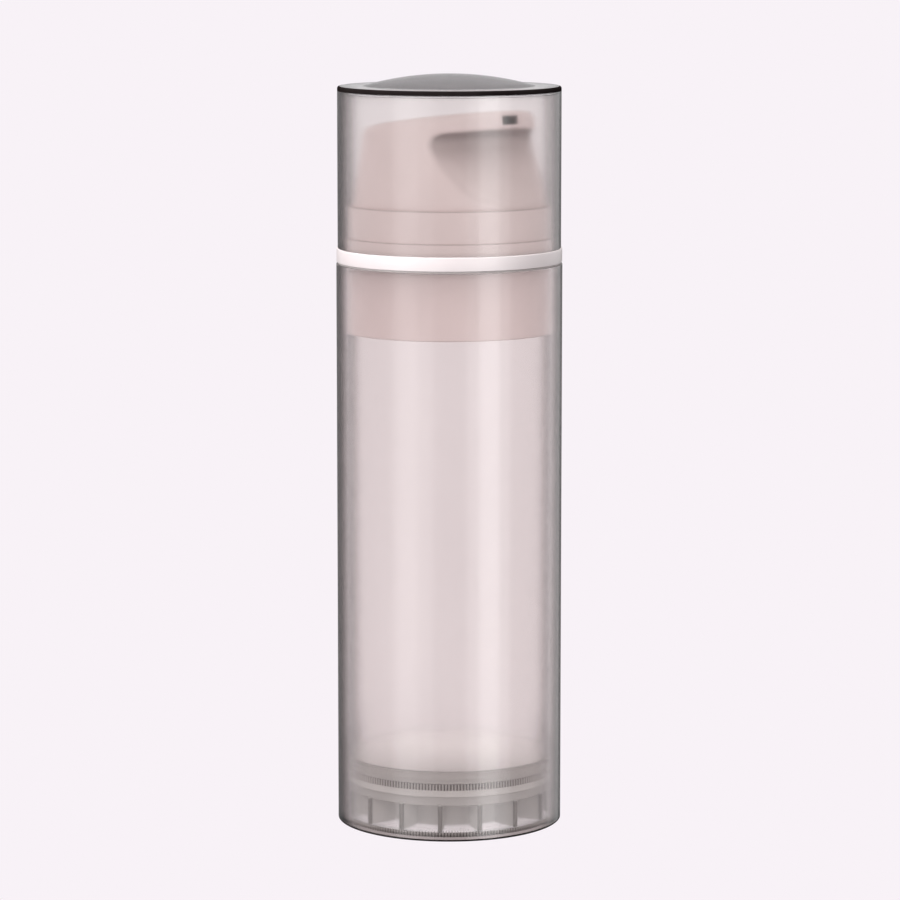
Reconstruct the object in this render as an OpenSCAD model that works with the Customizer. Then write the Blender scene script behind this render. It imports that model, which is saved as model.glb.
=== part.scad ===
// Airless pump bottle: a clear tinted tube with a rising piston, a ribbed base
// plug, a dispensing pump with a scooped round head, and a clear push-on cap.
// Millimetres, +Z up. Origin at the centre of the circle the bottle stands on.
// The spout points along -Y.

/* [Bottle tube] */
// Outer diameter of the tube
bottle_d = 35; // [34.6:0.1:36]
// Wall thickness of the tube
bottle_wall = 1.6; // [1.4:0.1:1.8]
// Height of the tube, base ring to top edge
bottle_h = 87.55; // [75:0.05:110]

/* [Over-cap] */
// How far the cap's outside stands inside the tube's outside, on radius
cap_inset = 0.23; // [0.1:0.01:0.3]
// Wall thickness of the cap's skirt
cap_wall = 1.12; // [1.0:0.01:1.2]
// Height of the flat rim of the cap above its lower edge
cap_h = 24.91; // [24.6:0.01:27]
// Height of the shallow dome above the flat rim
dome_h = 1.85; // [1.2:0.05:3]
// Radius of the dome's foot
dome_r = 13.3; // [11:0.1:14]

/* [Collar] */
// Height of the band that shows between tube and cap
band_h = 2.14; // [1.8:0.02:2.4]
// Height of the thick foot of the neck above the band
step_h = 1.82; // [1.2:0.02:2.2]
// Height of the thin neck above its foot
neck_h = 4.94; // [4.4:0.02:5.2]

/* [Pump head] */
// Slope of the head's top, rising towards the spout, in degrees
top_tilt = 7.8; // [5:0.1:8]
// Width of the slot-shaped orifice
orifice_w = 3.35; // [2.4:0.05:3.5]
// Height of the slot-shaped orifice
orifice_h = 1.36; // [1:0.02:1.4]

/* [Pump] */
// Bore radius of the dosing cylinder
dose_r = 4.6; // [4.5:0.05:4.7]
// Wire diameter of the return spring
wire_d = 0.65; // [0.5:0.05:0.7]
// Number of turns of the return spring
turns = 6; // [5.5:0.5:6]

/* [Base plug] */
// Number of radial ribs in the base plug
rib_n = 16; // [12:1:20]
// Thickness of each rib
rib_t = 0.9; // [0.7:0.05:1.1]
// Angle of the first rib from the spout, in degrees
rib_turn = -5.1; // [-11:0.1:11]

/* [Hidden] */
$fn = 96;

fit = 0.05;                       // radial clearance of parts pushed into the tube
R  = bottle_d / 2;                // tube outside
Rb = R - bottle_wall;             // tube bore
Ri = Rb - fit;                    // parts that sit in the bore
zd = bottle_h + 0.25;             // underside of the collar, on its gasket
Rc = R - 0.05;                    // collar band outside
Rcap = R - cap_inset;             // cap outside
Rcb = Rcap - cap_wall;            // cap bore
Rs = Rcb - 0.1;                   // foot of the neck, guides the cap
Rn = Rs - 0.45;                   // thin neck outside
Rnb = Rn - 0.65;                  // neck bore
Ra = Rnb - 0.1;                   // skirt of the pump head
z_band = zd + band_h;
z_step = z_band + step_h;
z_neck = z_step + neck_h;
zt = zd + 22.32;                  // height of the head's sloping top on the axis
pale = [0.95, 0.87, 0.86];
smoke = [0.62, 0.55, 0.54, 0.45];
white = [0.93, 0.92, 0.90];
steel = [0.75, 0.76, 0.78];
rubber = [0.80, 0.78, 0.76];

// hollow cylinder between two heights
module ring(ro, ri, z0, z1) {
  translate([0, 0, z0]) difference() {
    cylinder(r = ro, h = z1 - z0);
    translate([0, 0, -1]) cylinder(r = ri, h = z1 - z0 + 2);
  }
}
// cone frustum between two heights
module cone(ra, rb, z0, z1) {
  translate([0, 0, z0]) cylinder(r1 = ra, r2 = rb, h = z1 - z0);
}

// ---- tube and what stands in it -------------------------------------------

module bottle_body() {
  color(smoke) difference() {
    rotate_extrude() polygon([[Rb, 0.15], [Rb + 0.15, 0], [R - 0.2, 0], [R, 0.2],
      [R, bottle_h - 0.12], [R - 0.12, bottle_h], [Rb + 0.35, bottle_h],
      [Rb, bottle_h - 0.35]]);
  }
}

// ribbed plug: closed deck with a grip flange on top, open ribs below
module base_plug() {
  color(smoke) difference() {
    union() {
      translate([0, 0, 7.74]) cylinder(r = Ri, h = 0.94);           // grip flange and deck
      ring(Ri - 0.25, 12.6, 6.60, 7.80);
      ring(Ri - 0.55, 12.6, 5.20, 6.65);
      ring(12.7, 10.9, 5.20, 6.20);                                 // closes the rib chambers
      ring(11.0, 9.8, 1.10, 7.80);                                  // hub wall
      for (i = [0 : rib_n - 1])
        rotate([0, 0, -90 + rib_turn + i * 360 / rib_n])
          translate([10.5, -rib_t / 2, 1.10]) cube([Ri - 0.35 - 10.5, rib_t, 4.2]);
    }
    translate([0, 0, 7]) cylinder(r = 1.0, h = 3);                  // breather hole
  }
}

// closing disc, a little above the ring that the bottle stands on
module base_disc() {
  color(smoke) difference() {
    translate([0, 0, 0.4]) cylinder(r = Ri, h = 0.7);
    translate([0, 0, -0.6]) cylinder(r = 12.6, h = 1.3);            // shallow recess below
    translate([0, 0, 0]) cylinder(r = 0.8, h = 3);                  // breather hole
  }
}

// rising piston: two flared lips joined by a waist, and a slightly crowned web
module follower_piston() {
  color([0.80, 0.74, 0.73, 0.6]) rotate_extrude() polygon([
    [0, 10.75], [4.0, 10.68], [8.0, 10.45], [11.5, 10.15], [13.9, 9.70], [14.8, 8.74],
    [Ri - 0.12, 8.74], [Ri, 8.90], [Ri, 9.15], [15.3, 9.55], [15.3, 10.15], [Ri, 10.50],
    [Ri, 10.62], [Ri - 0.12, 10.74], [12.0, 11.06], [8.0, 11.38], [4.0, 11.57],
    [0, 11.63]]);
}

// ---- pump housing -----------------------------------------------------------

// cup pushed into the tube's mouth; its floor stops the rising piston
module neck_insert() {
  color(pale) rotate_extrude() polygon([
    [3.05, zd - 10.76], [Ri - 0.3, zd - 10.76], [Ri, zd - 10.46], [Ri, zd - 0.12],
    [Ri - 0.12, zd], [14.6, zd], [14.6, zd - 1.0], [13.6, zd - 1.0], [13.6, zd - 9.56],
    [3.05, zd - 9.56]]);
}

// flat ring between the tube's top edge and the collar
module neck_gasket() {
  color(rubber) ring(R - 0.3, Rb + 0.35, bottle_h, zd);
}

// collar: band, thick foot that guides the cap, thin neck that guides the head
module pump_collar() {
  color(pale) rotate_extrude() polygon([
    [8.0, zd], [Rc - 0.08, zd], [Rc, zd + 0.08], [Rc, z_band - 0.08], [Rc - 0.08, z_band],
    [Rs, z_band], [Rs, z_step - 0.1], [Rs - 0.1, z_step], [Rn, z_step], [Rn, z_neck - 0.2],
    [Rn - 0.2, z_neck], [Rnb + 0.12, z_neck], [Rnb, z_neck - 0.12], [Rnb, zd + 0.8],
    [8.0, zd + 0.8]]);
}

// dosing cylinder with inlet nose, valve seat and holding flange
module pump_cylinder() {
  color(white) difference() {
    union() {
      translate([0, 0, zd - 10.76]) cylinder(r = 3.0, h = 2.0);     // inlet nose
      translate([0, 0, zd - 8.96]) cylinder(r = 6.0, h = 13.56);    // barrel
      translate([0, 0, zd - 1.0]) cylinder(r = 14.5, h = 1.0);      // holding flange
      for (a = [0 : 60 : 300]) rotate([0, 0, a])                    // webs under the flange
        translate([5.5, -0.5, zd - 4.2]) cube([4.5, 1, 3.4]);
    }
    translate([0, 0, zd - 12]) cylinder(r = 1.0, h = 6);            // inlet
    cone(1.0, 1.7, zd - 8.4, zd - 7.6);                             // valve seat
    translate([0, 0, zd - 7.6]) cylinder(r = 1.75, h = 5);          // ball chamber
    translate([0, 0, zd - 3.8]) cylinder(r = dose_r, h = 10);       // dosing bore
  }
}

module inlet_gasket() {
  color(rubber) ring(5.6, 3.1, zd - 9.56, zd - 8.96);
}

module inlet_ball() {
  color(steel) translate([0, 0, zd - 7.23]) sphere(r = 1.5);
}

// stop ring over the ball, with three flow notches
module ball_cage() {
  color(white) difference() {
    ring(1.75, 0.8, zd - 4.85, zd - 3.9);
    for (a = [90, 210, 330]) rotate([0, 0, a])
      translate([1.15, -0.35, zd - 5]) cube([1, 0.7, 2]);
  }
}

// snap-on guide over the cylinder: closes it, guides the stem, seats the spring
module guide_cap() {
  color(pale) difference() {
    union() {
      ring(7.0, 6.05, zd + 0.9, zd + 4.62);
      ring(7.0, 2.58, zd + 4.6, zd + 6.0);
      ring(3.4, 2.58, zd + 5.9, zd + 7.2);                          // centres the spring
      ring(6.0, 5.2, zd + 5.9, zd + 6.7);
    }
    for (a = [0, 120, 240]) rotate([0, 0, a])                       // vents
      translate([6.2, 0, zd + 4]) cylinder(r = 0.35, h = 4);
  }
}

// ---- moving pump parts ------------------------------------------------------

// coil spring from the guide cap to the stem's flange, end turns closed
spring_z0 = zd + 6.0;
spring_z1 = zd + 14.8;
spring_r = 4.3;
spring_seg = 24;
spring_rings = turns * spring_seg;
spring_side = 8;
end_p = wire_d * 1.12;
function coil_z(t) =
  let (h = spring_z1 - spring_z0 - wire_d - 0.04, m = (h - 2 * end_p) / (turns - 2))
  spring_z0 + wire_d / 2 + 0.02 +
  (t < 1 ? t * end_p : t < turns - 1 ? end_p + (t - 1) * m : h - (turns - t) * end_p);
module return_spring() {
  pts = [for (i = [0 : spring_rings]) let (t = i / spring_seg, a = 360 * t, z = coil_z(t))
         for (k = [0 : spring_side - 1]) let (b = 360 * k / spring_side,
           r = spring_r + wire_d / 2 * cos(b))
         [r * cos(a), r * sin(a), z + wire_d / 2 * sin(b)]];
  n = spring_side;
  side = [for (i = [0 : spring_rings - 1]) for (k = [0 : n - 1])
          [i * n + k, (i + 1) * n + k, (i + 1) * n + (k + 1) % n, i * n + (k + 1) % n]];
  ends = [[for (k = [0 : n - 1]) k], [for (k = [n - 1 : -1 : 0]) spring_rings * n + k]];
  color(steel) polyhedron(points = pts, faces = concat(side, ends));
}

// hollow stem with the flange that the spring pushes on
module stem() {
  color(white) rotate_extrude() polygon([
    [1.25, zd + 3.8], [2.3, zd + 3.8], [2.5, zd + 4.0], [2.5, zd + 14.8], [5.0, zd + 14.8],
    [5.0, zd + 15.6], [2.5, zd + 15.6], [2.5, zd + 18.4], [2.3, zd + 18.6],
    [1.25, zd + 18.6]]);
}

// rod plugged into the stem: head that closes on the seal, cross port, flow bore
module piston_rod() {
  color(white) difference() {
    union() {
      cone(3.1, 3.5, zd + 0.5, zd + 0.9);
      translate([0, 0, zd + 0.9]) cylinder(r = 3.5, h = 0.4);
      translate([0, 0, zd + 1.2]) cylinder(r = 1.7, h = 2.6);
      translate([0, 0, zd + 3.7]) cylinder(r = 1.25, h = 2.8);
    }
    translate([0, 0, zd + 1.6]) cylinder(r = 0.7, h = 6);
    translate([-3, 0, zd + 1.95]) rotate([0, 90, 0]) cylinder(r = 0.5, h = 6);
  }
}

// sliding seal of the dosing piston, free to float on the rod
module piston_seal() {
  color(rubber) rotate_extrude() polygon([
    [1.76, zd + 1.3], [2.7, zd + 1.3], [2.7, zd + 1.9], [3.8, zd + 1.9], [4.1, zd + 1.3],
    [dose_r - 0.12, zd + 1.2], [dose_r - 0.05, zd + 1.35], [dose_r - 0.05, zd + 1.6],
    [4.25, zd + 2.1], [4.25, zd + 2.5], [dose_r - 0.05, zd + 3.0], [dose_r - 0.05, zd + 3.3],
    [dose_r - 0.12, zd + 3.4], [4.15, zd + 3.35], [3.7, zd + 2.7], [2.7, zd + 2.7],
    [2.7, zd + 2.9], [1.76, zd + 2.9]]);
}

// ---- pump head ---------------------------------------------------------------

// children drawn in the frame of the sloping top: z = 0 on the top face
module on_top() { translate([0, 0, zt]) rotate([-top_tilt, 0, 0]) children(); }

// outline of the scoop seen from the side: distance towards the spout, height
scoop = [[15.6, zd + 8.6], [14.2, zd + 9.8], [12.3, zd + 11.7], [10.4, zd + 13.7],
         [8.7, zd + 15.8], [7.6, zd + 17.4], [7.1, zd + 18.6], [7.3, zd + 19.8],
         [8.2, zd + 20.42], [17, zd + 21.64], [17, zd + 8.6]];
// the same line carried inwards by the wall, for the hollow behind it
scoop_in = [[15.6, zd + 6.6], [13.2, zd + 8.9], [11.4, zd + 10.8], [9.4, zd + 12.9],
            [7.6, zd + 15.1], [6.4, zd + 16.9], [5.8, zd + 18.6], [5.8, zd + 24],
            [17, zd + 24], [17, zd + 6.6]];
module prism(pts, w) {
  rotate([90, 0, 90]) translate([0, 0, -w / 2]) linear_extrude(w)
    polygon([for (p = pts) [-p[0], p[1]]]);
}
head = [[Ra, zd + 5.3], [Ra, zd + 9.2], [14.15, zd + 13.5], [13.6, zd + 17.2],
        [13.15, zd + 21.2], [12.9, zd + 24.6]];
module head_solid(t) {
  rotate_extrude() polygon(concat([[0, zd + (t > 0 ? 4 : 5.1)], [Ra - 0.2 - t, zd + (t > 0 ? 4 : 5.1)]],
    [for (p = head) [p[0] - t, p[1]]], [[0, zd + 24.6]]));
}

module actuator_shell() {
  color(pale) difference() {
    intersection() {
      head_solid(0);
      on_top() translate([0, 0, -30]) cylinder(r = 20, h = 30);
      on_top() translate([0, 0, -18]) cylinder(r1 = 30.6, r2 = 12.6, h = 18);
    }
    prism(scoop, 34);                                               // scoop under the spout
    difference() {                                                  // hollow
      intersection() {
        head_solid(1.2);
        on_top() translate([0, 0, -30]) cylinder(r = 20, h = 29.1);
      }
      prism(scoop_in, 34);
    }
    on_top() translate([-2.65, -10.2, -2.65]) cube([5.3, 9, 1.75]); // slot for the core
    on_top() translate([-2.3, -14, -2.65]) cube([4.6, 5, 2.21]);    // pocket for the tip
    on_top() translate([0, 0, 59.7]) sphere(r = 60);                // shallow finger dish
  }
}

// inner part of the head: socket on the stem, riser, channel to the tip
module actuator_core() {
  color(white) difference() {
    intersection() {
      union() {
        translate([0, 0, zd + 15.65]) cylinder(r = 3.6, h = 7);
        on_top() translate([-2.65, -10.2, -2.65]) cube([5.3, 10.2, 1.75]);
      }
      on_top() translate([0, 0, -30]) cylinder(r = 20, h = 29.1);
    }
    translate([0, 0, zd + 15]) cylinder(r = 2.5, h = 3.6);          // stem socket
    translate([0, 0, zd + 15]) cylinder(r = 1.3, h = 5.6);          // riser
    on_top() translate([-orifice_w / 2, -12, -0.9 - orifice_h]) cube([orifice_w, 12, 3]);
  }
}

// small tip with the slot-shaped orifice
module nozzle_tip() {
  color(pale) difference() {
    on_top() translate([-2.3, -13.0, -2.65]) cube([4.6, 2.8, 2.21]);
    on_top() translate([-orifice_w / 2, -14, -0.9 - orifice_h]) cube([orifice_w, 5, orifice_h]);
  }
}

// ---- over-cap ------------------------------------------------------------------

module overcap() {
  zr = z_band + cap_h;                 // flat rim
  rho = (dome_r * dome_r + dome_h * dome_h) / (2 * dome_h);
  color(smoke) difference() {
    union() {
      translate([0, 0, z_band]) cylinder(r = Rcap, h = cap_h - 0.7);
      translate([0, 0, zr - 1]) cylinder(r = Rcap - 0.7, h = 1);
      translate([0, 0, zr - 0.7]) rotate_extrude() translate([Rcap - 0.7, 0]) circle(r = 0.7);
      intersection() {
        translate([0, 0, zr + dome_h - rho]) sphere(r = rho, $fn = 192);
        translate([0, 0, zr - 1]) cylinder(r = dome_r, h = 6);
      }
    }
    translate([0, 0, z_band - 1]) cylinder(r = Rcb, h = cap_h + 0.1);
  }
}

bottle_body();
base_plug();
base_disc();
follower_piston();
neck_insert();
neck_gasket();
pump_collar();
pump_cylinder();
inlet_gasket();
inlet_ball();
ball_cage();
guide_cap();
return_spring();
stem();
piston_rod();
piston_seal();
actuator_shell();
actuator_core();
nozzle_tip();
overcap();
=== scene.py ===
import math

import bmesh
import bpy
import numpy as np
from mathutils import Matrix, Vector


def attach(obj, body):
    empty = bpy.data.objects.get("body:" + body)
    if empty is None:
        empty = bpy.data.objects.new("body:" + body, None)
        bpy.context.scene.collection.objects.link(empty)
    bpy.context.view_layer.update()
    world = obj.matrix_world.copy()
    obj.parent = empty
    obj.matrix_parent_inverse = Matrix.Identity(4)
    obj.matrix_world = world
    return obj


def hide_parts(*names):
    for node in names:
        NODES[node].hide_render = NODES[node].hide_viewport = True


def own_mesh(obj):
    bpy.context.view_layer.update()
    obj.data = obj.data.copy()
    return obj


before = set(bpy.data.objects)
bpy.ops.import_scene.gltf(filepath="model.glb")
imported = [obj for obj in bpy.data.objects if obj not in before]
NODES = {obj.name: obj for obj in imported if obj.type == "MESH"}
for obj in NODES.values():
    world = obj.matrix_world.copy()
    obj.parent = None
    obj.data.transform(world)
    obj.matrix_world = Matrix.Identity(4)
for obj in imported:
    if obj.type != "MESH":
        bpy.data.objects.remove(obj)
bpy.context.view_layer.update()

MM = 0.001

# ---------------------------------------------------------------- sizes (mm)
R, RB, RI = 17.489, 15.9, 15.85          # tube outside, bore, parts in the bore
H = 87.55                               # tube height
ZD = 87.80                              # underside of the collar
RC, RCAP, RCB = 17.45, 17.27, 16.15     # collar band, cap outside, cap bore
RS, RN, RNB, RA = 16.05, 15.60, 14.95, 14.85
ZBAND, ZSTEP, ZNECK = ZD + 2.14, ZD + 3.96, ZD + 8.90
ZT = ZD + 22.32                         # head's sloping top, on the axis
TILT = math.radians(7.8)
ZRIM, DOME_H, DOME_R = ZBAND + 24.91, 1.85, 13.3
TEETH = 208


# ---------------------------------------------------------------- mesh helpers
def arc_corner(a, b, c, rad, n=5):
    """Points of a fillet of radius rad that replaces corner b between a and c."""
    a, b, c = (np.array(p, float) for p in (a, b, c))
    u, v = a - b, c - b
    lu, lv = np.linalg.norm(u), np.linalg.norm(v)
    u, v = u / lu, v / lv
    ang = math.acos(max(-1, min(1, float(u @ v))))
    if ang > math.pi - 0.02:
        return [tuple(b)]
    cut = min(rad / math.tan(ang / 2), 0.49 * lu, 0.49 * lv)
    rad = cut * math.tan(ang / 2)
    mid = (u + v) / np.linalg.norm(u + v)
    centre = b + mid * rad / math.sin(ang / 2)
    p, q = b + u * cut - centre, b + v * cut - centre
    a0, a1 = math.atan2(p[1], p[0]), math.atan2(q[1], q[0])
    d = (a1 - a0 + math.pi) % (2 * math.pi) - math.pi
    return [
        (centre[0] + rad * math.cos(a0 + d * i / n), centre[1] + rad * math.sin(a0 + d * i / n))
        for i in range(n + 1)
    ]


def rounded(points, closed=True):
    """points: (r, z) or (r, z, fillet). Returns the outline with its fillets."""
    out, n = [], len(points)
    for i, p in enumerate(points):
        if len(p) == 2 or (not closed and i in (0, n - 1)):
            out.append((p[0], p[1]))
        else:
            out += arc_corner(points[i - 1][:2], p[:2], points[(i + 1) % n][:2], p[2])
    return out


def lathe(name, outline, segments=256, closed=True, paint=None, sharp=32, teeth=None, tooth=0.0):
    """Turns an outline (anticlockwise in r, z) about Z into one closed mesh.
    paint(r, z) gives the material index of the face at that middle point.
    teeth(r, z) is true where the rim carries grip teeth of depth tooth."""
    if closed:
        outline = list(outline)
    pts = [(r * MM, z * MM) for r, z in outline]
    m = len(pts)
    verts, index = [], []
    two = 2 * math.pi / segments
    for r, z in pts:
        if r < 1e-7:
            index.append([len(verts)])
            verts.append((0, 0, z))
            continue
        index.append(list(range(len(verts), len(verts) + segments)))
        toothed = teeth is not None and teeth(r / MM, z / MM)
        for k in range(segments):
            rr = r
            if toothed:
                phase = (k * TEETH / segments) % 1.0
                rr = r - tooth * MM * (0.5 - 0.5 * math.cos(2 * math.pi * phase)) ** 0.8
            verts.append((rr * math.cos(two * k), rr * math.sin(two * k), z))
    faces, mats = [], []
    for i in range(m if closed else m - 1):
        a, b = index[i], index[(i + 1) % m]
        ra, rb = pts[i], pts[(i + 1) % m]
        if len(a) == 1 and len(b) == 1:
            continue
        mat = paint((ra[0] + rb[0]) / 2 / MM, (ra[1] + rb[1]) / 2 / MM) if paint else 0
        for k in range(segments):
            k2 = (k + 1) % segments
            if len(a) == 1:
                faces.append((a[0], b[k2], b[k]))
            elif len(b) == 1:
                faces.append((a[k], a[k2], b[0]))
            else:
                faces.append((a[k], a[k2], b[k2], b[k]))
            mats.append(mat)
    me = bpy.data.meshes.new(name)
    me.from_pydata(verts, [], faces)
    me.polygons.foreach_set("material_index", mats)
    return finish_mesh(name, me, sharp)


def finish_mesh(name, me, sharp=32):
    bm = bmesh.new()
    bm.from_mesh(me)
    bmesh.ops.recalc_face_normals(bm, faces=bm.faces)
    bm.to_mesh(me)
    bm.free()
    me.polygons.foreach_set("use_smooth", [True] * len(me.polygons))
    me.set_sharp_from_angle(angle=math.radians(sharp))
    me.update()
    ob = bpy.data.objects.new(name, me)
    bpy.context.scene.collection.objects.link(ob)
    return ob


def put(ob, body, node, mats):
    for m in mats:                                # clearing the list would reset the face indices
        ob.data.materials.append(m)
    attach(ob, body)
    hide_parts(node)
    return ob


# ---------------------------------------------------------------- distance fields
def seg_polygon(px, py, poly):
    """Signed distance to a closed polygon, negative inside."""
    n = len(poly)
    best = np.full(px.shape, 1e9)
    inside = np.zeros(px.shape, bool)
    for i in range(n):
        ax, ay = poly[i]
        bx, by = poly[(i + 1) % n]
        ex, ey = bx - ax, by - ay
        wx, wy = px - ax, py - ay
        t = np.clip((wx * ex + wy * ey) / (ex * ex + ey * ey), 0, 1)
        best = np.minimum(best, (wx - ex * t) ** 2 + (wy - ey * t) ** 2)
        cross = ((ay > py) != (by > py)) & (px < (bx - ax) * (py - ay) / (by - ay + 1e-12) + ax)
        inside ^= cross
    d = np.sqrt(best)
    return np.where(inside, -d, d)


def smax(a, b, k):
    h = np.maximum(k - np.abs(a - b), 0) / k
    return np.maximum(a, b) + h * h * k * 0.25


def box_field(x, y, z, lo, hi, rad=0.0):
    c = [(l + h) / 2 for l, h in zip(lo, hi)]
    s = [(h - l) / 2 - rad for l, h in zip(lo, hi)]
    qx, qy, qz = abs(x - c[0]) - s[0], abs(y - c[1]) - s[1], abs(z - c[2]) - s[2]
    out = np.sqrt(np.maximum(qx, 0) ** 2 + np.maximum(qy, 0) ** 2 + np.maximum(qz, 0) ** 2)
    return out + np.minimum(np.maximum(qx, np.maximum(qy, qz)), 0) - rad


def surface_nets(name, f, origin, h, sharp=38):
    """Closed quad mesh of the zero level of the field f on a regular grid."""
    f = f.astype(np.float32)
    nx, ny, nz = f.shape
    s = f < 0
    total = np.zeros((nx - 1, ny - 1, nz - 1, 3), np.float32)
    count = np.zeros((nx - 1, ny - 1, nz - 1), np.float32)
    corner = [(i, j, k) for i in (0, 1) for j in (0, 1) for k in (0, 1)]

    def part(a, c):
        return a[c[0]: nx - 1 + c[0], c[1]: ny - 1 + c[1], c[2]: nz - 1 + c[2]]

    for c in corner:
        for ax in range(3):
            if c[ax]:
                continue
            e = list(c)
            e[ax] = 1
            fa, fb, sa, sb = part(f, c), part(f, e), part(s, c), part(s, e)
            m = sa != sb
            t = np.where(m, fa / np.where(m, fa - fb, 1), 0)
            for q in range(3):
                total[..., q] += np.where(m, (t if q == ax else c[q]), 0)
            count += m
    live = count > 0
    ids = np.full(live.shape, -1, np.int64)
    ids[live] = np.arange(int(live.sum()))
    cell = np.argwhere(live)
    pos = (cell + total[live] / count[live][:, None]) * h + np.array(origin)
    quads = []
    for ax in range(3):
        u, v = (ax + 1) % 3, (ax + 2) % 3
        lo = [slice(1, n - 1) for n in f.shape]
        lo[ax] = slice(0, f.shape[ax] - 1)
        hi = list(lo)
        hi[ax] = slice(1, f.shape[ax])
        a, b = s[tuple(lo)], s[tuple(hi)]
        where = np.argwhere(a != b)
        flip = b[tuple(where.T)]
        base = where + np.array([0 if q == ax else 1 for q in range(3)])

        def at(du, dv):
            p = base.copy()
            p[:, u] += du
            p[:, v] += dv
            return ids[tuple(p.T)]

        q = np.stack([at(-1, -1), at(0, -1), at(0, 0), at(-1, 0)], 1)
        q[flip] = q[flip][:, ::-1]
        quads.append(q)
    quads = np.concatenate(quads)
    me = bpy.data.meshes.new(name)
    me.from_pydata((pos * MM).tolist(), [], quads.tolist())
    return finish_mesh(name, me, sharp)


def curve_through(points, step=6):
    """Smooth open line through points (centripetal-free Catmull-Rom)."""
    p = [np.array(q, float) for q in points]
    p = [2 * p[0] - p[1]] + p + [2 * p[-1] - p[-2]]
    out = []
    for i in range(1, len(p) - 2):
        for k in range(step):
            t = k / step
            a, b, c, d = p[i - 1], p[i], p[i + 1], p[i + 2]
            out.append(tuple(0.5 * ((2 * b) + (c - a) * t + (2 * a - 5 * b + 4 * c - d) * t * t
                                    + (3 * b - a - 3 * c + d) * t ** 3)))
    out.append(tuple(p[-2]))
    return out


# ---------------------------------------------------------------- materials
def tree(name):
    m = bpy.data.materials.new(name)
    m.use_nodes = True
    nt = m.node_tree
    nt.nodes.clear()
    out = nt.nodes.new("ShaderNodeOutputMaterial")
    return m, nt, out


def node(nt, kind, **values):
    n = nt.nodes.new(kind)
    for k, v in values.items():
        if hasattr(n, k) and k not in n.inputs:
            setattr(n, k, v)
        else:
            n.inputs[k].default_value = v
    return n


def ramp(nt, stops, ease=False):
    n = nt.nodes.new("ShaderNodeValToRGB")
    n.color_ramp.interpolation = "EASE" if ease else "LINEAR"
    e = n.color_ramp.elements
    while len(e) > 1:
        e.remove(e[-1])
    for i, (p, c) in enumerate(stops):
        c = (c, c, c) if isinstance(c, (int, float)) else c
        el = e[0] if i == 0 else e.new(p)
        el.position = p
        el.color = (*c, 1)
    return n


def noise(nt, scale, detail=2.0, rough=0.5, stretch=None):
    co = nt.nodes.new("ShaderNodeTexCoord")
    n = node(nt, "ShaderNodeTexNoise", Scale=scale, Detail=detail, Roughness=rough)
    if stretch:
        mp = node(nt, "ShaderNodeMapping", Scale=stretch)
        nt.links.new(co.outputs["Object"], mp.inputs["Vector"])
        nt.links.new(mp.outputs["Vector"], n.inputs["Vector"])
    else:
        nt.links.new(co.outputs["Object"], n.inputs["Vector"])
    return n


def spread(nt, source, lo, hi):
    """Maps a noise value to a range."""
    n = node(nt, "ShaderNodeMapRange")
    n.inputs["From Min"].default_value = 0.3
    n.inputs["From Max"].default_value = 0.7
    n.inputs["To Min"].default_value = lo
    n.inputs["To Max"].default_value = hi
    nt.links.new(source.outputs[0], n.inputs["Value"])
    return n


def two_tones(nt, source, a, b):
    n = ramp(nt, [(0.32, a), (0.68, b)])
    nt.links.new(source.outputs[0], n.inputs["Fac"])
    return n


def helpers(nt):
    """Small maths and range nodes on the tree nt."""
    def op(kind, a, b=None):
        n = nt.nodes.new("ShaderNodeMath")
        n.operation = kind
        for sock, v in zip(n.inputs, (a, b)):
            if v is None:
                continue
            if isinstance(v, (int, float)):
                sock.default_value = v
            else:
                nt.links.new(v, sock)
        return n.outputs[0]

    def band(value, lo, hi):
        n = node(nt, "ShaderNodeMapRange")
        n.inputs["From Min"].default_value = lo
        n.inputs["From Max"].default_value = hi
        nt.links.new(value, n.inputs["Value"])
        return n.outputs[0]

    def blend(fac, a, b):
        n = nt.nodes.new("ShaderNodeMix")
        n.data_type = "RGBA"
        nt.links.new(fac, n.inputs["Factor"])
        for sock, v in ((n.inputs["A"], a), (n.inputs["B"], b)):
            if isinstance(v, tuple):
                sock.default_value = (*v, 1)
            else:
                nt.links.new(v, sock)
        return n.outputs["Result"]

    return op, band, blend


def place(nt):
    """Object position: x, y, z and the distance from the axis, in metres."""
    op = helpers(nt)[0]
    co = nt.nodes.new("ShaderNodeTexCoord")
    sep = nt.nodes.new("ShaderNodeSeparateXYZ")
    nt.links.new(co.outputs["Object"], sep.inputs[0])
    x, y, z = (sep.outputs[k] for k in "XYZ")
    return x, y, z, op("SQRT", op("ADD", op("MULTIPLY", x, x), op("MULTIPLY", y, y)))


def moulded(name, tone_a, tone_b, rough=(0.30, 0.40), grain=5200, bump=0.08, **fixed):
    """Opaque injection-moulded plastic: cloudy tone, uneven satin, fine skin grain."""
    m, nt, out = tree(name)
    p = node(nt, "ShaderNodeBsdfPrincipled", **{"IOR": 1.49, **fixed})
    cloud = noise(nt, 160, 3.0, 0.55, (1, 1, 0.45))
    nt.links.new(two_tones(nt, cloud, tone_a, tone_b).outputs["Color"], p.inputs["Base Color"])
    satin = noise(nt, 420, 2.0, 0.6)
    nt.links.new(spread(nt, satin, *rough).outputs[0], p.inputs["Roughness"])
    skin = noise(nt, grain, 2.0, 0.5)
    bp = node(nt, "ShaderNodeBump", Strength=bump, Distance=0.00004)
    nt.links.new(skin.outputs[0], bp.inputs["Height"])
    nt.links.new(bp.outputs["Normal"], p.inputs["Normal"])
    nt.links.new(p.outputs[0], out.inputs["Surface"])
    return m


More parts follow.
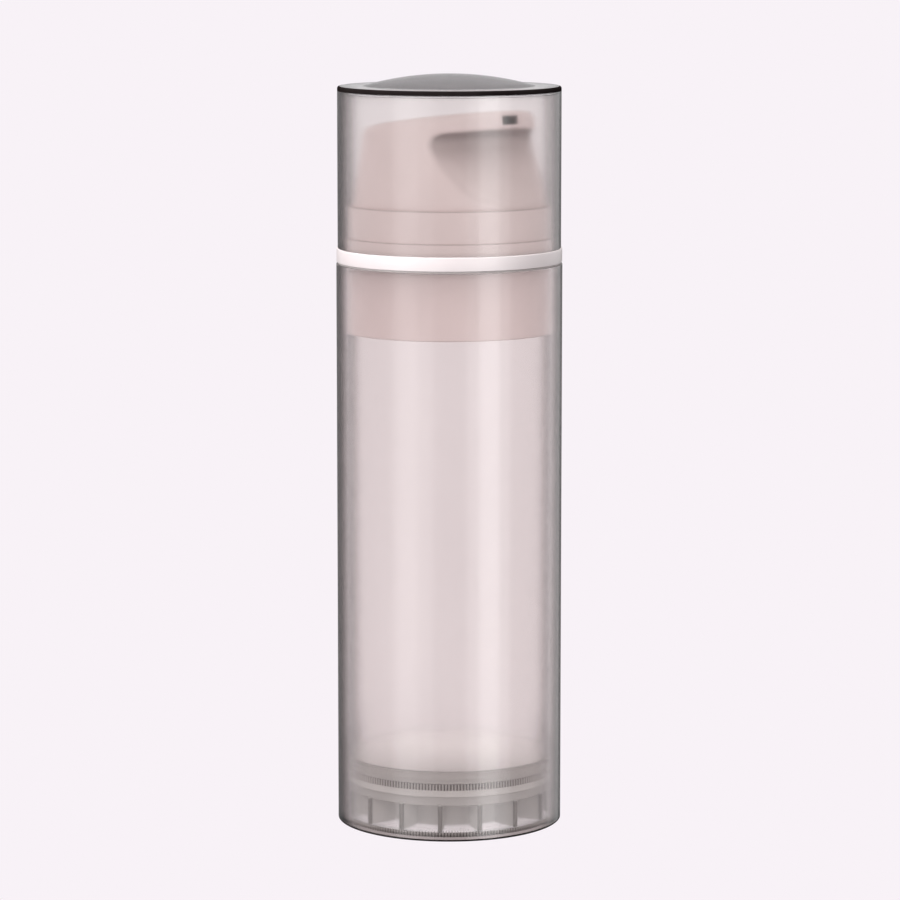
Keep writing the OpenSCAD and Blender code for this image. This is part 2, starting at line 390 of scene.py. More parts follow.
def clear(name, tint_a, tint_b, rough, facing=None, bump=0.05, shadow=(0.97, 0.955, 0.95), foot=None):
    """Clear plastic with a tint and a satin skin. Lamps shine through it. Its tint carries painted edge-on shade, which
    stands partly for the longer path through the wall.
    foot: more painted edge-on shade where the wall holds the base plug, and painted shade on the lowest rim."""
    m, nt, out = tree(name)
    p = node(nt, "ShaderNodeBsdfPrincipled", **{"IOR": 1.49, "Transmission Weight": 1.0})
    cloud = noise(nt, 90, 3.0, 0.5, (1, 1, 0.3))
    tone = two_tones(nt, cloud, tint_a, tint_b)
    if facing:
        lw = node(nt, "ShaderNodeLayerWeight", Blend=0.5)
        fr = ramp(nt, facing)
        nt.links.new(lw.outputs["Facing"], fr.inputs["Fac"])
        mix = nt.nodes.new("ShaderNodeMix")
        mix.data_type = "RGBA"
        mix.blend_type = "MULTIPLY"
        mix.inputs["Factor"].default_value = 1.0
        nt.links.new(tone.outputs["Color"], mix.inputs["A"])
        nt.links.new(fr.outputs["Color"], mix.inputs["B"])
        edge_shaded = mix.outputs["Result"]
        # painted shade: deeper edge-on shade low on the wall, where the base plug stands behind it
        if foot:
            band = helpers(nt)[1]
            low = ramp(nt, foot)
            nt.links.new(lw.outputs["Facing"], low.inputs["Fac"])
            deep = nt.nodes.new("ShaderNodeMix")
            deep.data_type = "RGBA"
            deep.blend_type = "MULTIPLY"
            nt.links.new(band(place(nt)[2], 0.0175, 0.0125), deep.inputs["Factor"])
            nt.links.new(edge_shaded, deep.inputs["A"])
            nt.links.new(low.outputs["Color"], deep.inputs["B"])
            # painted shade on the lowest rim of the wall, below about 0.9 mm
            rim = nt.nodes.new("ShaderNodeMix")
            rim.data_type = "RGBA"
            rim.blend_type = "MULTIPLY"
            nt.links.new(band(place(nt)[2], 0.00095, 0.00070), rim.inputs["Factor"])
            nt.links.new(deep.outputs["Result"], rim.inputs["A"])
            rim.inputs["B"].default_value = (0.45, 0.42, 0.41, 1)
            edge_shaded = rim.outputs["Result"]
        nt.links.new(edge_shaded, p.inputs["Base Color"])
    else:
        nt.links.new(tone.outputs["Color"], p.inputs["Base Color"])
    satin = noise(nt, 300, 2.0, 0.6)
    nt.links.new(spread(nt, satin, *rough).outputs[0], p.inputs["Roughness"])
    if bump:
        skin = noise(nt, 4200, 2.0, 0.5)
        bp = node(nt, "ShaderNodeBump", Strength=bump, Distance=0.00003)
        nt.links.new(skin.outputs[0], bp.inputs["Height"])
        nt.links.new(bp.outputs["Normal"], p.inputs["Normal"])
    path = nt.nodes.new("ShaderNodeLightPath")
    thru = node(nt, "ShaderNodeBsdfTransparent", Color=(*shadow, 1))
    ms = nt.nodes.new("ShaderNodeMixShader")
    nt.links.new(path.outputs["Is Shadow Ray"], ms.inputs["Fac"])
    nt.links.new(p.outputs[0], ms.inputs[1])
    nt.links.new(thru.outputs[0], ms.inputs[2])
    nt.links.new(ms.outputs[0], out.inputs["Surface"])
    return m


def warm(stops):
    """The deeper the painted edge-on shade, the warmer its tint."""
    return [(p, (v, v * (0.86 + 0.14 * v), v * (0.83 + 0.17 * v))) for p, v in stops]


# Painted edge-on shade: these facing ramps darken the clear tints towards grazing view. The first is for the walls and
# the cap, the second for the cap's dome and the third for low on the wall. They stand partly for the longer path
# through the plastic.
EDGE_SHADE = warm([(0.0, 1.0), (0.50, 1.0), (0.57, 0.69), (0.62, 0.31), (0.665, 0.13), (0.72, 0.055), (0.80, 0.025), (1.0, 0.02)])
DOME_SHADE = [(0.0, 1.0), (0.42, 0.9), (0.54, 0.34), (0.62, 0.15), (0.75, 0.11), (0.90, 0.14), (1.0, 0.22)]
FOOT_SHADE = [(0.0, 1.0), (0.28, 1.0), (0.36, 0.95), (0.462, 0.80), (0.54, 0.64), (0.70, 0.62), (0.82, 0.75), (1.0, 0.8)]
m_wall = clear("smoke_wall", (0.866, 0.826, 0.812), (0.890, 0.850, 0.836), (0.15, 0.19), EDGE_SHADE, foot=FOOT_SHADE)
m_cap = clear("smoke_cap", (0.878, 0.858, 0.844), (0.902, 0.882, 0.868), (0.15, 0.19), EDGE_SHADE)
# Painted shade: a near-black finish on the rim corners of the clear plastic, at the cap's top edge and the tube's foot,
# where only shade falls.
m_edge_shade = moulded("painted_edge_shade", (0.010, 0.007, 0.007), (0.018, 0.014, 0.014), (0.30, 0.40), bump=0.03, **{"Specular IOR Level": 0.0})
m_dome = clear("smoke_dome_shade", (0.92, 0.90, 0.90), (0.96, 0.95, 0.95), (0.12, 0.16), DOME_SHADE)
m_rim = clear("smoke_rim", (0.96, 0.95, 0.95), (0.98, 0.975, 0.975), (0.10, 0.14))


def shaded(m, steps):
    """Paints shade into a moulded plastic: darker places blended into its colour. steps: (amount socket maker, painted
    shade tone).
    """
    nt = m.node_tree
    p = next(n for n in nt.nodes if n.type == "BSDF_PRINCIPLED")
    tone = p.inputs["Base Color"].links[0].from_socket
    blend = helpers(nt)[2]
    for make, shade_tone in steps:
        tone = blend(make(nt), tone, shade_tone)
    nt.links.new(tone, p.inputs["Base Color"])
    return m


# Painted shade in the valleys between the grip teeth.
def valley_shade(nt):
    op, band, _ = helpers(nt)
    r = place(nt)[3]
    return band(r, 0.01580, 0.01557)


# Painted shade on the recessed band of the base plug, from z 5.2 to 6.6 mm.
def low_ring_shade(nt):
    op, band, _ = helpers(nt)
    z = place(nt)[2]
    return op("MULTIPLY", op("MULTIPLY", band(z, 0.0068, 0.0066), band(z, 0.0050, 0.0052)), 0.75)


# Painted shade on the front faces of the ribs.
def rib_front_shade(nt):
    op, band, _ = helpers(nt)
    _, _, z, r = place(nt)
    return op("MULTIPLY", op("MULTIPLY", band(z, 0.00525, 0.00515), band(r, 0.01515, 0.01535)), 0.92)


def under_spout_shade(nt):
    """Painted shade in the scoop under the spout: it grows with depth and is strongest close to its roof."""
    op, band, _ = helpers(nt)
    _, y, z, r = place(nt)
    side = 0.0
    for r0, z0, k in ((14.85, 9.2, 0.163), (14.15, 13.5, 0.149), (13.6, 17.2, 0.1125)):
        line = op("SUBTRACT", (r0 + k * (ZD + z0)) * MM, op("MULTIPLY", z, k))
        side = op("MAXIMUM", side, line)
    depth = band(op("SUBTRACT", side, r), 0.00006, 0.0008)
    tz = op("ADD", op("MULTIPLY", y, math.sin(TILT)), op("MULTIPLY", op("SUBTRACT", z, ZT * MM), math.cos(TILT)))
    roof = band(tz, -0.0019, -0.0026)
    rise = op("POWER", band(z, (ZD + 8.5) * MM, (ZD + 20.0) * MM), 6.0)
    return op("MULTIPLY", op("MULTIPLY", depth, roof), op("ADD", op("MULTIPLY", rise, 0.66), 0.02))


def slot_shade(nt):
    """Painted shade inside the orifice, behind its front edge."""
    op, band, _ = helpers(nt)
    return op("MULTIPLY", band(place(nt)[3], 0.01290, 0.01235), 0.9)


def web_shade(nt):
    """Painted shade on the outer part of the follower's crowned web, where the rim stands behind it."""
    op, band, _ = helpers(nt)
    return band(place(nt)[3], 0.003, 0.0150)


# Painted shade on the base plug: a darker recessed band and darker rib fronts.
m_base = shaded(moulded("smoke_base", (0.66, 0.655, 0.645), (0.71, 0.705, 0.695), (0.52, 0.60), bump=0.08, **{"Specular IOR Level": 0.05}),
                [(low_ring_shade, (0.49, 0.484, 0.478)), (rib_front_shade, (0.25, 0.242, 0.238))])
# painted shade: the grip teeth get dark valleys
m_teeth = shaded(moulded("smoke_grip", (0.64, 0.618, 0.612), (0.70, 0.678, 0.672), (0.44, 0.54), bump=0.06, **{"Specular IOR Level": 0.05}),
                 [(valley_shade, (0.18, 0.165, 0.16))])
m_disc = clear("smoke_disc", (0.965, 0.96, 0.96), (0.985, 0.98, 0.98), (0.12, 0.18))
m_foll = moulded("frost_piston", (0.48, 0.463, 0.457), (0.535, 0.518, 0.512), (0.48, 0.56), bump=0.05, **{"Specular IOR Level": 0.05})
# Painted shade on the outer web of the crown.
m_crown = shaded(moulded("frost_crown", (0.64, 0.615, 0.61), (0.69, 0.665, 0.66), (0.16, 0.22), bump=0.04, **{"Coat Weight": 1.0, "Coat Roughness": 0.12, "Coat IOR": 1.75}),
                 [(web_shade, (0.37, 0.355, 0.35))])
m_pink = moulded("pale_pink", (0.885, 0.768, 0.762), (0.92, 0.805, 0.80), (0.48, 0.58), bump=0.04, **{"Specular IOR Level": 0.3})
# Painted shade in the scoop under the spout.
m_head = shaded(moulded("pale_pink_head", (0.80, 0.682, 0.675), (0.84, 0.718, 0.71), (0.48, 0.58), bump=0.04, **{"Specular IOR Level": 0.10}),
                [(under_spout_shade, (0.13, 0.105, 0.10))])
m_neck = moulded("pale_pink_neck", (0.80, 0.682, 0.675), (0.84, 0.718, 0.71), (0.48, 0.58), bump=0.04, **{"Specular IOR Level": 0.3})
# Painted shade: a deeper pink for the collar's thin rim lines, standing for the shadow lines of the gaps there.
m_lip_shade = moulded("pale_pink_lip_shade", (0.60, 0.503, 0.497), (0.64, 0.54, 0.534), (0.48, 0.58), bump=0.04, **{"Specular IOR Level": 0.3})
# Painted shade inside the orifice.
m_tip = shaded(moulded("pale_pink_tip", (0.80, 0.682, 0.675), (0.84, 0.718, 0.71), (0.48, 0.58), bump=0.04, **{"Specular IOR Level": 0.3}),
               [(slot_shade, (0.16, 0.125, 0.12))])
m_band = moulded("pale_pink_band", (0.80, 0.725, 0.727), (0.82, 0.748, 0.750), (0.30, 0.38), bump=0.0)
m_white = moulded("natural_white", (0.80, 0.785, 0.76), (0.86, 0.845, 0.82), (0.34, 0.44))
m_seal = moulded("soft_seal", (0.48, 0.44, 0.43), (0.54, 0.50, 0.49), (0.50, 0.62), bump=0.14)


def steel(name):
    m, nt, out = tree(name)
    p = node(nt, "ShaderNodeBsdfPrincipled", **{"Metallic": 1.0})
    drawn = noise(nt, 900, 4.0, 0.6, (1, 1, 6))
    nt.links.new(two_tones(nt, drawn, (0.58, 0.58, 0.60), (0.74, 0.74, 0.75)).outputs["Color"], p.inputs["Base Color"])
    nt.links.new(spread(nt, drawn, 0.18, 0.34).outputs[0], p.inputs["Roughness"])
    bp = node(nt, "ShaderNodeBump", Strength=0.12, Distance=0.00002)
    nt.links.new(drawn.outputs[0], bp.inputs["Height"])
    nt.links.new(bp.outputs["Normal"], p.inputs["Normal"])
    nt.links.new(p.outputs[0], out.inputs["Surface"])
    return m


m_steel = steel("steel")

# ---------------------------------------------------------------- tube
tube = lathe(
    "bottle_tube",
    rounded([(RB, 0, 0.14), (R, 0, 0.19), (R, 0.28), (R, H - 0.3), (R, H, 0.11), (RB + 0.3, H), (RB, H - 0.3), (RB, 0.28)]),
    segments=288,
    # painted shade: the tube's lowest outer corner takes the near-black edge finish
    paint=lambda r, z: 1 if z < 0.27 and r > R - 0.5 else 0,
)
put(tube, "bottle", "bottle_body", [m_wall, m_edge_shade])

# ---------------------------------------------------------------- cap
rho = (DOME_R ** 2 + DOME_H ** 2) / (2 * DOME_H)
dome = []
foot = math.asin(DOME_R / rho)
for i in range(25):
    a = foot * (1 - i / 24)
    dome.append((rho * math.sin(a), ZRIM + DOME_H - rho + rho * math.cos(a)))
dome[-1] = (0.0, ZRIM + DOME_H)
ceil = ZRIM - 0.90
outline = rounded(
    [(0, ceil), (RCB, ceil, 0.25), (RCB, ZBAND + 0.06), (RCB + 0.06, ZBAND), (RCAP, ZBAND, 0.07), (RCAP, ZBAND + 0.25),
     (RCAP, ZRIM - 0.72), (RCAP, ZRIM, 0.7), (DOME_R + 0.7, ZRIM), (DOME_R + 0.28, ZRIM + 0.005)],
    closed=False,
)
outline += [(DOME_R + 0.10, ZRIM + 0.018), (DOME_R - 0.08, ZRIM + 0.055)] + dome[1:]


def cap_paint(r, z):
    # painted shade: the cap's top outer corner takes the near-black edge finish; the dome and the flat ring round it
    # take clear finishes
    if r > RCAP - 0.72 and z > ZRIM - 0.76:
        return 1
    if z > ZRIM - 0.1:
        return 3 if r > DOME_R - 0.1 else 2
    return 0


cap = lathe("overcap_shell", outline, segments=288, closed=False, paint=cap_paint, sharp=40)
put(cap, "cap", "overcap", [m_cap, m_edge_shade, m_dome, m_rim])

# ---------------------------------------------------------------- neck insert, collar
ins = lathe("neck_insert_cup", rounded([
    (3.05, ZD - 10.76, 0.1), (RI - 0.0, ZD - 10.76, 0.32), (RI, ZD, 0.12), (14.6, ZD), (14.6, ZD - 1.0), (13.6, ZD - 1.0, 0.1),
    (13.6, ZD - 9.56, 0.5), (3.05, ZD - 9.56, 0.1)]), segments=224)
put(ins, "bottle", "neck_insert", [m_pink])

# Painted shade: the neck's top rim and the step's top annulus take the deeper pink of the gap shadow lines.
col = lathe("pump_collar_ring", rounded([
    (8.0, ZD, 0.1), (RC, ZD, 0.1), (RC, ZBAND, 0.1), (RS, ZBAND, 0.05), (RS, ZSTEP, 0.12), (RN, ZSTEP, 0.1), (RN, ZNECK, 0.22),
    (RNB, ZNECK, 0.14), (RNB, ZD + 0.8, 0.2), (8.0, ZD + 0.8, 0.1)]), segments=256,
    paint=lambda r, z: 0 if (r > RS + 0.1 and z < ZBAND + 0.01) else (2 if z > ZNECK - 0.16 or (RN + 0.03 < r and z > ZSTEP - 0.1) else 1))
put(col, "bottle", "pump_collar", [m_band, m_neck, m_lip_shade])

# ---------------------------------------------------------------- base plug, base disc, follower
TURN = math.radians(-90 - 5.1)


def boolean(target, other, how):
    mod = target.modifiers.new("join", "BOOLEAN")
    mod.operation = how
    mod.solver = "EXACT"
    mod.object = other
    dg = bpy.context.evaluated_depsgraph_get()
    me = bpy.data.meshes.new_from_object(target.evaluated_get(dg))
    target.modifiers.clear()
    old = target.data
    target.data = me
    bpy.data.meshes.remove(old)
    bpy.data.objects.remove(other)
    me.polygons.foreach_set("use_smooth", [True] * len(me.polygons))
    me.set_sharp_from_angle(angle=math.radians(32))
    return target


plug = lathe("base_plug_body", rounded([
    (1.0, 7.74), (9.8, 7.74, 0.3), (9.8, 1.10, 0.15), (11.0, 1.10, 0.15), (11.0, 5.20, 0.2), (RI - 0.55, 5.20, 0.15),
    (RI - 0.55, 6.60, 0.12), (RI - 0.25, 6.60, 0.12), (RI - 0.25, 7.74, 0.05), (RI, 7.74), (RI, 8.68), (RI - 0.45, 8.68), (1.0, 8.68)]),
    segments=TEETH * 4, teeth=lambda r, z: r > RI - 0.02, tooth=0.30,
    paint=lambda r, z: 1 if r > RI - 0.3 and z > 7.7 else 0)
bm = bmesh.new()
for i in range(16):
    a = TURN + i * 2 * math.pi / 16
    res = bmesh.ops.create_cube(bm, size=1.0)["verts"]
    bmesh.ops.scale(bm, vec=(4.9 * MM, 0.66 * MM, 4.3 * MM), verts=res)
    bmesh.ops.translate(bm, vec=(13.05 * MM, 0, 3.25 * MM), verts=res)
    bmesh.ops.rotate(bm, cent=(0, 0, 0), matrix=Matrix.Rotation(a, 3, "Z"), verts=res)
bmesh.ops.bevel(bm, geom=list(bm.edges), offset=0.08 * MM, segments=2, profile=0.5, affect="EDGES")
me = bpy.data.meshes.new("ribs")
bm.to_mesh(me)
bm.free()
ribs = bpy.data.objects.new("ribs", me)
bpy.context.scene.collection.objects.link(ribs)
plug = boolean(plug, ribs, "UNION")
put(plug, "bottle", "base_plug", [m_base, m_teeth])

disc = lathe("base_disc_plate", rounded([
    (0.8, 0.7, 0.05), (12.6, 0.7, 0.1), (12.6, 0.4, 0.1), (RI - 0.25, 0.4), (RI, 0.42), (RI, 1.08), (RI - 0.25, 1.1), (0.8, 1.1, 0.05)]),
    segments=TEETH * 4, teeth=lambda r, z: r > RI - 0.02, tooth=0.30,
    paint=lambda r, z: 1 if r > RI - 0.2 else 0)
put(disc, "bottle", "base_disc", [m_disc, m_teeth])

crown_r = (15.72 ** 2 + 0.90 ** 2) / (2 * 0.90)
crown = [(15.72 * (1 - i / 18), 11.63 - crown_r + math.sqrt(crown_r ** 2 - (15.72 * (1 - i / 18)) ** 2)) for i in range(19)]
foll = lathe("follower_disc", rounded([
    (0, 10.75), (4.0, 10.68), (8.0, 10.45), (11.5, 10.15), (13.9, 9.70, 0.3), (14.8, 8.74, 0.1), (RI - 0.06, 8.74, 0.05), (RI, 8.90, 0.05),
    (RI, 9.15, 0.3), (15.72, 9.55, 0.3), (15.72, 10.15, 0.3), (RI, 10.50, 0.2), (RI, 10.61, 0.04)] + crown[:-1] + [(0, 11.63)], closed=False), segments=224, closed=False,
    paint=lambda r, z: 1 if z > 10.64 else 0)
put(foll, "follower", "follower_piston", [m_foll, m_crown])

# ---------------------------------------------------------------- pump head
SCOOP = [(15.6, ZD + 8.6), (14.2, ZD + 9.8), (12.3, ZD + 11.7), (10.4, ZD + 13.7), (8.7, ZD + 15.8), (7.6, ZD + 17.4),
         (7.1, ZD + 18.6), (7.3, ZD + 19.8), (8.2, ZD + 20.42)]
SCOOP_LINE = curve_through(SCOOP, 5) + [(18.0, ZD + 21.78), (18.0, ZD + 6.5)]
SCOOP_IN = [(15.6, ZD + 6.6), (13.2, ZD + 8.9), (11.4, ZD + 10.8), (9.4, ZD + 12.9), (7.6, ZD + 15.1), (6.4, ZD + 16.9),
            (5.8, ZD + 18.6), (5.8, ZD + 24), (18.0, ZD + 24), (18.0, ZD + 5)]
SIDE = curve_through([(RA, ZD + 5.1), (RA, ZD + 9.2), (14.15, ZD + 13.5), (13.6, ZD + 17.2), (13.15, ZD + 21.2), (12.9, ZD + 24.6)], 4)


def side_field(r, z, t):
    zs = np.array([p[1] for p in SIDE])
    rs = np.array([p[0] for p in SIDE])
    return (r - (np.interp(z, zs, rs) - t)) * 0.985


def head_fields(x, y, z):
    r = np.sqrt(x * x + y * y)
    ct, st = math.cos(TILT), math.sin(TILT)
    zz = z - ZT
    ty, tz = y * ct - zz * st, y * st + zz * ct       # sloping frame: tz = 0 on the top face
    return r, ty, tz


def head_outer(x, y, z, r, ty, tz):
    f = smax(side_field(r, z, 0.0), tz, 1.4)
    f = smax(f, ZD + 5.1 - z, 0.35)
    dish = 60 - np.sqrt(x * x + ty * ty + (tz - 59.7) ** 2)
    return smax(f, dish, 0.5)


def head_shell():
    h = 0.24
    lo = (-15.3, -15.3, ZD + 4.5)
    n = (int(30.6 / h) + 2, int(30.6 / h) + 2, int(20.2 / h) + 2)
    ax = [lo[i] + h * np.arange(n[i]) for i in range(3)]
    x, y, z = np.meshgrid(*ax, indexing="ij")
    r, ty, tz = head_fields(x, y, z)
    f = head_outer(x, y, z, r, ty, tz)
    yy, zz = np.meshgrid(ax[1], ax[2], indexing="ij")
    scoop = seg_polygon(-yy, zz, SCOOP_LINE)[None, :, :]
    f = smax(f, -np.broadcast_to(scoop, f.shape), 0.9)
    inner = smax(side_field(r, z, 1.2), tz + 0.9, 0.8)
    scoop_in = seg_polygon(-yy, zz, SCOOP_IN)[None, :, :]
    inner = np.maximum(inner, -np.broadcast_to(scoop_in, f.shape))
    f = np.maximum(f, -inner)
    f = np.maximum(f, -box_field(x, ty, tz, (-2.65, -10.2, -2.65), (2.65, -1.2, -0.9)))
    shell = surface_nets("pump_head_shell", f, lo, h)
    bm = bmesh.new()
    cut = bmesh.ops.create_cube(bm, size=1.0)["verts"]
    bmesh.ops.scale(bm, vec=(4.58 * MM, 6 * MM, 2.03 * MM), verts=cut)
    bmesh.ops.bevel(bm, geom=[e for e in bm.edges if abs((e.verts[0].co - e.verts[1].co).y) > 0.001],
                    offset=0.2 * MM, segments=3, profile=0.5, affect="EDGES")
    bmesh.ops.translate(bm, vec=(0, -12 * MM, -1.635 * MM), verts=bm.verts)
    me = bpy.data.meshes.new("pocket")
    bm.to_mesh(me)
    bm.free()
    me.transform(Matrix.Translation((0, 0, ZT * MM)) @ Matrix.Rotation(-TILT, 4, "X"))
    pocket = bpy.data.objects.new("pocket", me)
    bpy.context.scene.collection.objects.link(pocket)
    return boolean(shell, pocket, "DIFFERENCE")


def nozzle():
    h = 0.07
    lo = (-2.6, -13.7, 106.6)
    n = (int(5.2 / h), int(4.1 / h), int(5.4 / h))
    ax = [lo[i] + h * np.arange(n[i]) for i in range(3)]
    x, y, z = np.meshgrid(*ax, indexing="ij")
    r, ty, tz = head_fields(x, y, z)
    f = box_field(x, ty, tz, (-2.27, -14.5, -2.63), (2.27, -10.2, -0.64), 0.2)
    f = smax(f, side_field(r, z, 0.015), 0.12)
    slot = box_field(x, ty, tz, (-1.675, -15, -2.26), (1.675, -9, -0.90), 0.12)
    f = smax(f, -slot, 0.12)
    return surface_nets("nozzle_slot", f, lo, h)


head = head_shell()
put(head, "head", "actuator_shell", [m_head])
tip = nozzle()
put(tip, "head", "nozzle_tip", [m_tip])


# ---------------------------------------------------------------- spring
def coil():
    wire, turns, rad, seg, sides = 0.65, 6, 4.3, 40, 14
    z0, z1 = ZD + 6.0, ZD + 14.8
    end = wire * 1.12
    height = z1 - z0 - wire - 0.04
    pitch = (height - 2 * end) / (turns - 2)

    def cz(t):
        base = z0 + wire / 2 + 0.02
        if t < 1:
            return base + t * end
        if t < turns - 1:
            return base + end + (t - 1) * pitch
        return base + height - (turns - t) * end

    verts, faces = [], []
    n = turns * seg
    for i in range(n + 1):
        t = i / seg
        z = (cz(max(0, t - 0.06)) + cz(t) + cz(min(turns, t + 0.06))) / 3
        a = 2 * math.pi * t
        for k in range(sides):
            b = 2 * math.pi * k / sides
            rr = rad + wire / 2 * math.cos(b)
            verts.append((rr * math.cos(a) * MM, rr * math.sin(a) * MM, (z + wire / 2 * math.sin(b)) * MM))
    for i in range(n):
        for k in range(sides):
            k2 = (k + 1) % sides
            faces.append((i * sides + k, (i + 1) * sides + k, (i + 1) * sides + k2, i * sides + k2))
    faces.append(tuple(range(sides)))
    faces.append(tuple(reversed(range(n * sides, (n + 1) * sides))))
    me = bpy.data.meshes.new("spring_coil")
    me.from_pydata(verts, [], faces)
    return finish_mesh("spring_coil", me, 50)


spring = coil()
put(spring, "bottle", "return_spring", [m_steel])
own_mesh(spring)


# ---------------------------------------------------------------- carried-over CAD nodes
def dress(name, mat):
    ob = NODES[name]
    ob.data.materials.clear()
    ob.data.materials.append(mat)
    return ob


for name in ("pump_cylinder", "ball_cage", "stem", "piston_rod", "actuator_core"):
    dress(name, m_white)
dress("guide_cap", m_pink)
for name in ("neck_gasket", "inlet_gasket", "piston_seal"):
    dress(name, m_seal)
dress("inlet_ball", m_steel)

# ---------------------------------------------------------------- stage, light, camera
BG = (0.939, 0.888, 0.930)
AZ = math.radians(-44.9)
TO_CAM = Vector((math.sin(AZ), -math.cos(AZ), 0))          # level direction from the object to the camera
RIGHT = Vector((math.cos(AZ), math.sin(AZ), 0))

me = bpy.data.meshes.new("floor")
bm = bmesh.new()
bmesh.ops.create_circle(bm, cap_ends=True, segments=96, radius=4.0)
bm.to_mesh(me)
bm.free()
floor = bpy.data.objects.new("floor", me)
floor.location = (0, 0, -0.00002)
bpy.context.scene.collection.objects.link(floor)
fm, fnt, fout = tree("floor_pale")
em = node(fnt, "ShaderNodeEmission", Color=(*BG, 1), Strength=1.0)
tr = node(fnt, "ShaderNodeBsdfTransparent")
geo = fnt.nodes.new("ShaderNodeNewGeometry")
fmix = fnt.nodes.new("ShaderNodeMixShader")
fnt.links.new(geo.outputs["Backfacing"], fmix.inputs["Fac"])
fnt.links.new(em.outputs[0], fmix.inputs[1])
fnt.links.new(tr.outputs[0], fmix.inputs[2])
fnt.links.new(fmix.outputs[0], fout.inputs["Surface"])
me.materials.append(fm)
floor.visible_glossy = False
floor.visible_diffuse = False
floor.visible_shadow = False

world = bpy.data.worlds.new("studio")
bpy.context.scene.world = world
world.use_nodes = True
wnt = world.node_tree
wnt.nodes.clear()
wout = wnt.nodes.new("ShaderNodeOutputWorld")
wco = wnt.nodes.new("ShaderNodeTexCoord")
sep = wnt.nodes.new("ShaderNodeSeparateXYZ")
wnt.links.new(wco.outputs["Generated"], sep.inputs[0])
up = node(wnt, "ShaderNodeMapRange")
up.inputs["From Min"].default_value = -1
up.inputs["From Max"].default_value = 1
wnt.links.new(sep.outputs["Z"], up.inputs["Value"])
soft = ramp(wnt, [(0.0, (0.10, 0.10, 0.10)), (0.44, (0.16, 0.155, 0.16)), (0.52, (0.62, 0.61, 0.62)), (0.70, (1.15, 1.13, 1.14)), (1.0, (1.9, 1.87, 1.88))])
gloss = ramp(wnt, [(0.0, (0.16, 0.16, 0.162)), (0.47, (0.22, 0.22, 0.223)), (0.505, (0.72, 0.71, 0.73)), (0.53, (0.60, 0.595, 0.60)),
                   (0.60, (0.46, 0.455, 0.46)), (1.0, (0.45, 0.445, 0.45))])
wnt.links.new(up.outputs[0], soft.inputs["Fac"])
wnt.links.new(up.outputs[0], gloss.inputs["Fac"])
wp = wnt.nodes.new("ShaderNodeLightPath")


def wmix(a, b, fac):
    n = wnt.nodes.new("ShaderNodeMix")
    n.data_type = "RGBA"
    wnt.links.new(fac, n.inputs["Factor"])
    for sock, v in ((n.inputs["A"], a), (n.inputs["B"], b)):
        if isinstance(v, tuple):
            sock.default_value = (*v, 1)
        else:
            wnt.links.new(v, sock)
    return n.outputs["Result"]


def wmath(op, a, b):
    n = wnt.nodes.new("ShaderNodeMath")
    n.operation = op
    for sock, v in zip(n.inputs, (a, b)):
        if isinstance(v, (int, float)):
            sock.default_value = v
        else:
            wnt.links.new(v, sock)
    return n.outputs[0]


scattered = wmath("GREATER_THAN", wp.outputs["Diffuse Depth"], 0.5)
seen = wmath("MAXIMUM", wp.outputs["Is Camera Ray"],
             wmath("MULTIPLY", wp.outputs["Is Transmission Ray"], wmath("SUBTRACT", 1.0, scattered)))
side = TO_CAM * math.cos(math.radians(-62)) + RIGHT * math.sin(math.radians(-62))
lean = wmath("ADD", wmath("MULTIPLY", sep.outputs["X"], side.x), wmath("MULTIPLY", sep.outputs["Y"], side.y))
level = wmath("ADD", wmath("MULTIPLY", lean, 0.78), 1.03)
leaned = wnt.nodes.new("ShaderNodeVectorMath")
leaned.operation = "SCALE"
wnt.links.new(soft.outputs["Color"], leaned.inputs[0])
wnt.links.new(level, leaned.inputs["Scale"])
lit = wmix(leaned.outputs[0], gloss.outputs["Color"], wp.outputs["Is Glossy Ray"])
bgn = wnt.nodes.new("ShaderNodeBackground")
wnt.links.new(wmix(lit, BG, seen), bgn.inputs["Color"])
wnt.links.new(bgn.outputs[0], wout.inputs["Surface"])


def softbox(name, angle, dist, width, height, z, level, tint=(1, 1, 1)):
    """Area light at an angle from the camera's direction (degrees, + to the camera's right)."""
    data = bpy.data.lights.new(name, "AREA")
    data.shape = "RECTANGLE"
    data.size, data.size_y = width, height
    data.energy = level * math.pi * width * height
    data.color = tint
    ob = bpy.data.objects.new(name, data)
    a = math.radians(angle)
    d = TO_CAM * math.cos(a) + RIGHT * math.sin(a)
    ob.location = d * dist + Vector((0, 0, z))
    aim = Vector((0, 0, 0.06)) - ob.location
    aim.z *= 0.2
    ob.rotation_euler = aim.to_track_quat("-Z", "Y").to_euler()
    bpy.context.scene.collection.objects.link(ob)
    ob.visible_camera = False
    ob.visible_transmission = False
    return ob


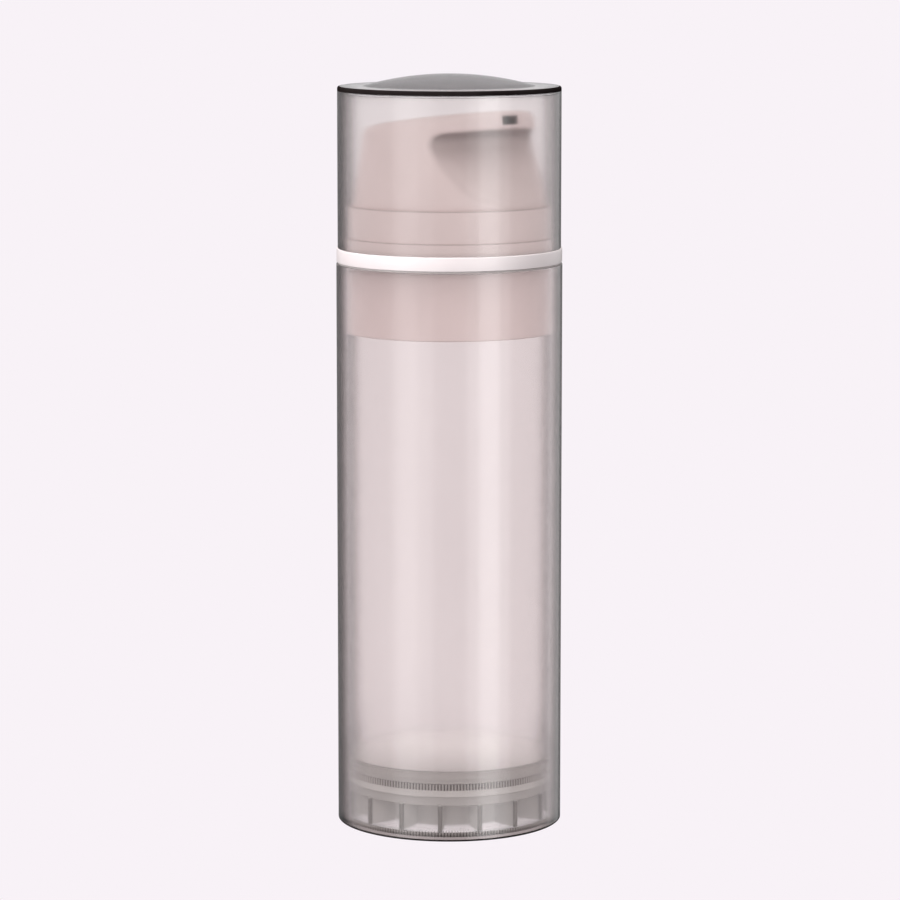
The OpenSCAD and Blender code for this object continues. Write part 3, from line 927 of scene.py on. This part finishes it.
softbox("strip_right_wide", 41, 1.0, 0.86, 1.5, 0.15, 1.45).visible_diffuse = False
softbox("strip_right_core", 41, 1.1, 0.42, 1.5, 0.15, 2.3).visible_diffuse = False
softbox("strip_left_wide", -38, 1.0, 0.80, 1.5, 0.15, 0.95).visible_diffuse = False
softbox("strip_left_core", -43, 1.1, 0.42, 1.5, 0.15, 0.75).visible_diffuse = False
softbox("fill_left", -46, 1.0, 0.50, 1.0, 0.35, 1.85).visible_glossy = False
softbox("fill_front", -6, 1.1, 0.35, 1.0, 0.40, 1.85).visible_glossy = False
softbox("fill_right", 118, 1.0, 0.50, 1.0, 0.30, 1.0).visible_glossy = False
softbox("rim_right", 137, 1.0, 0.62, 1.3, 0.2, 0.6).visible_diffuse = False

top = bpy.data.lights.new("top", "AREA")
top.shape = "DISK"
top.size = 0.8
top.energy = 1.2 * math.pi * math.pi * 0.16
to = bpy.data.objects.new("top", top)
to.location = (TO_CAM * 0.25 + Vector((0, 0, 1.1)))
to.rotation_euler = (Vector((0, 0, 0.1)) - to.location).to_track_quat("-Z", "Y").to_euler()
to.visible_camera = False
to.visible_transmission = False
bpy.context.scene.collection.objects.link(to)

cam_data = bpy.data.cameras.new("camera")
cam_data.lens = 153.18
cam_data.sensor_width = 36
cam_data.shift_x = 0.00072
cam_data.clip_start, cam_data.clip_end = 0.01, 100
cam = bpy.data.objects.new("camera", cam_data)
cam.location = TO_CAM * 0.5907 + Vector((0, 0, 0.14397))
cam.rotation_euler = (math.radians(90 - 8.256), 0, AZ)
bpy.context.scene.collection.objects.link(cam)
bpy.context.scene.camera = cam

sc = bpy.context.scene
sc.view_settings.view_transform = "Standard"
sc.view_settings.look = "None"
sc.view_settings.exposure = 0
sc.view_settings.gamma = 1
cy = sc.cycles
cy.max_bounces = 24
cy.transmission_bounces = 24
cy.transparent_max_bounces = 24
cy.glossy_bounces = 10
cy.diffuse_bounces = 4
cy.volume_bounces = 0
cy.sample_clamp_indirect = 6.0
cy.blur_glossy = 0.5
cy.use_denoising = True
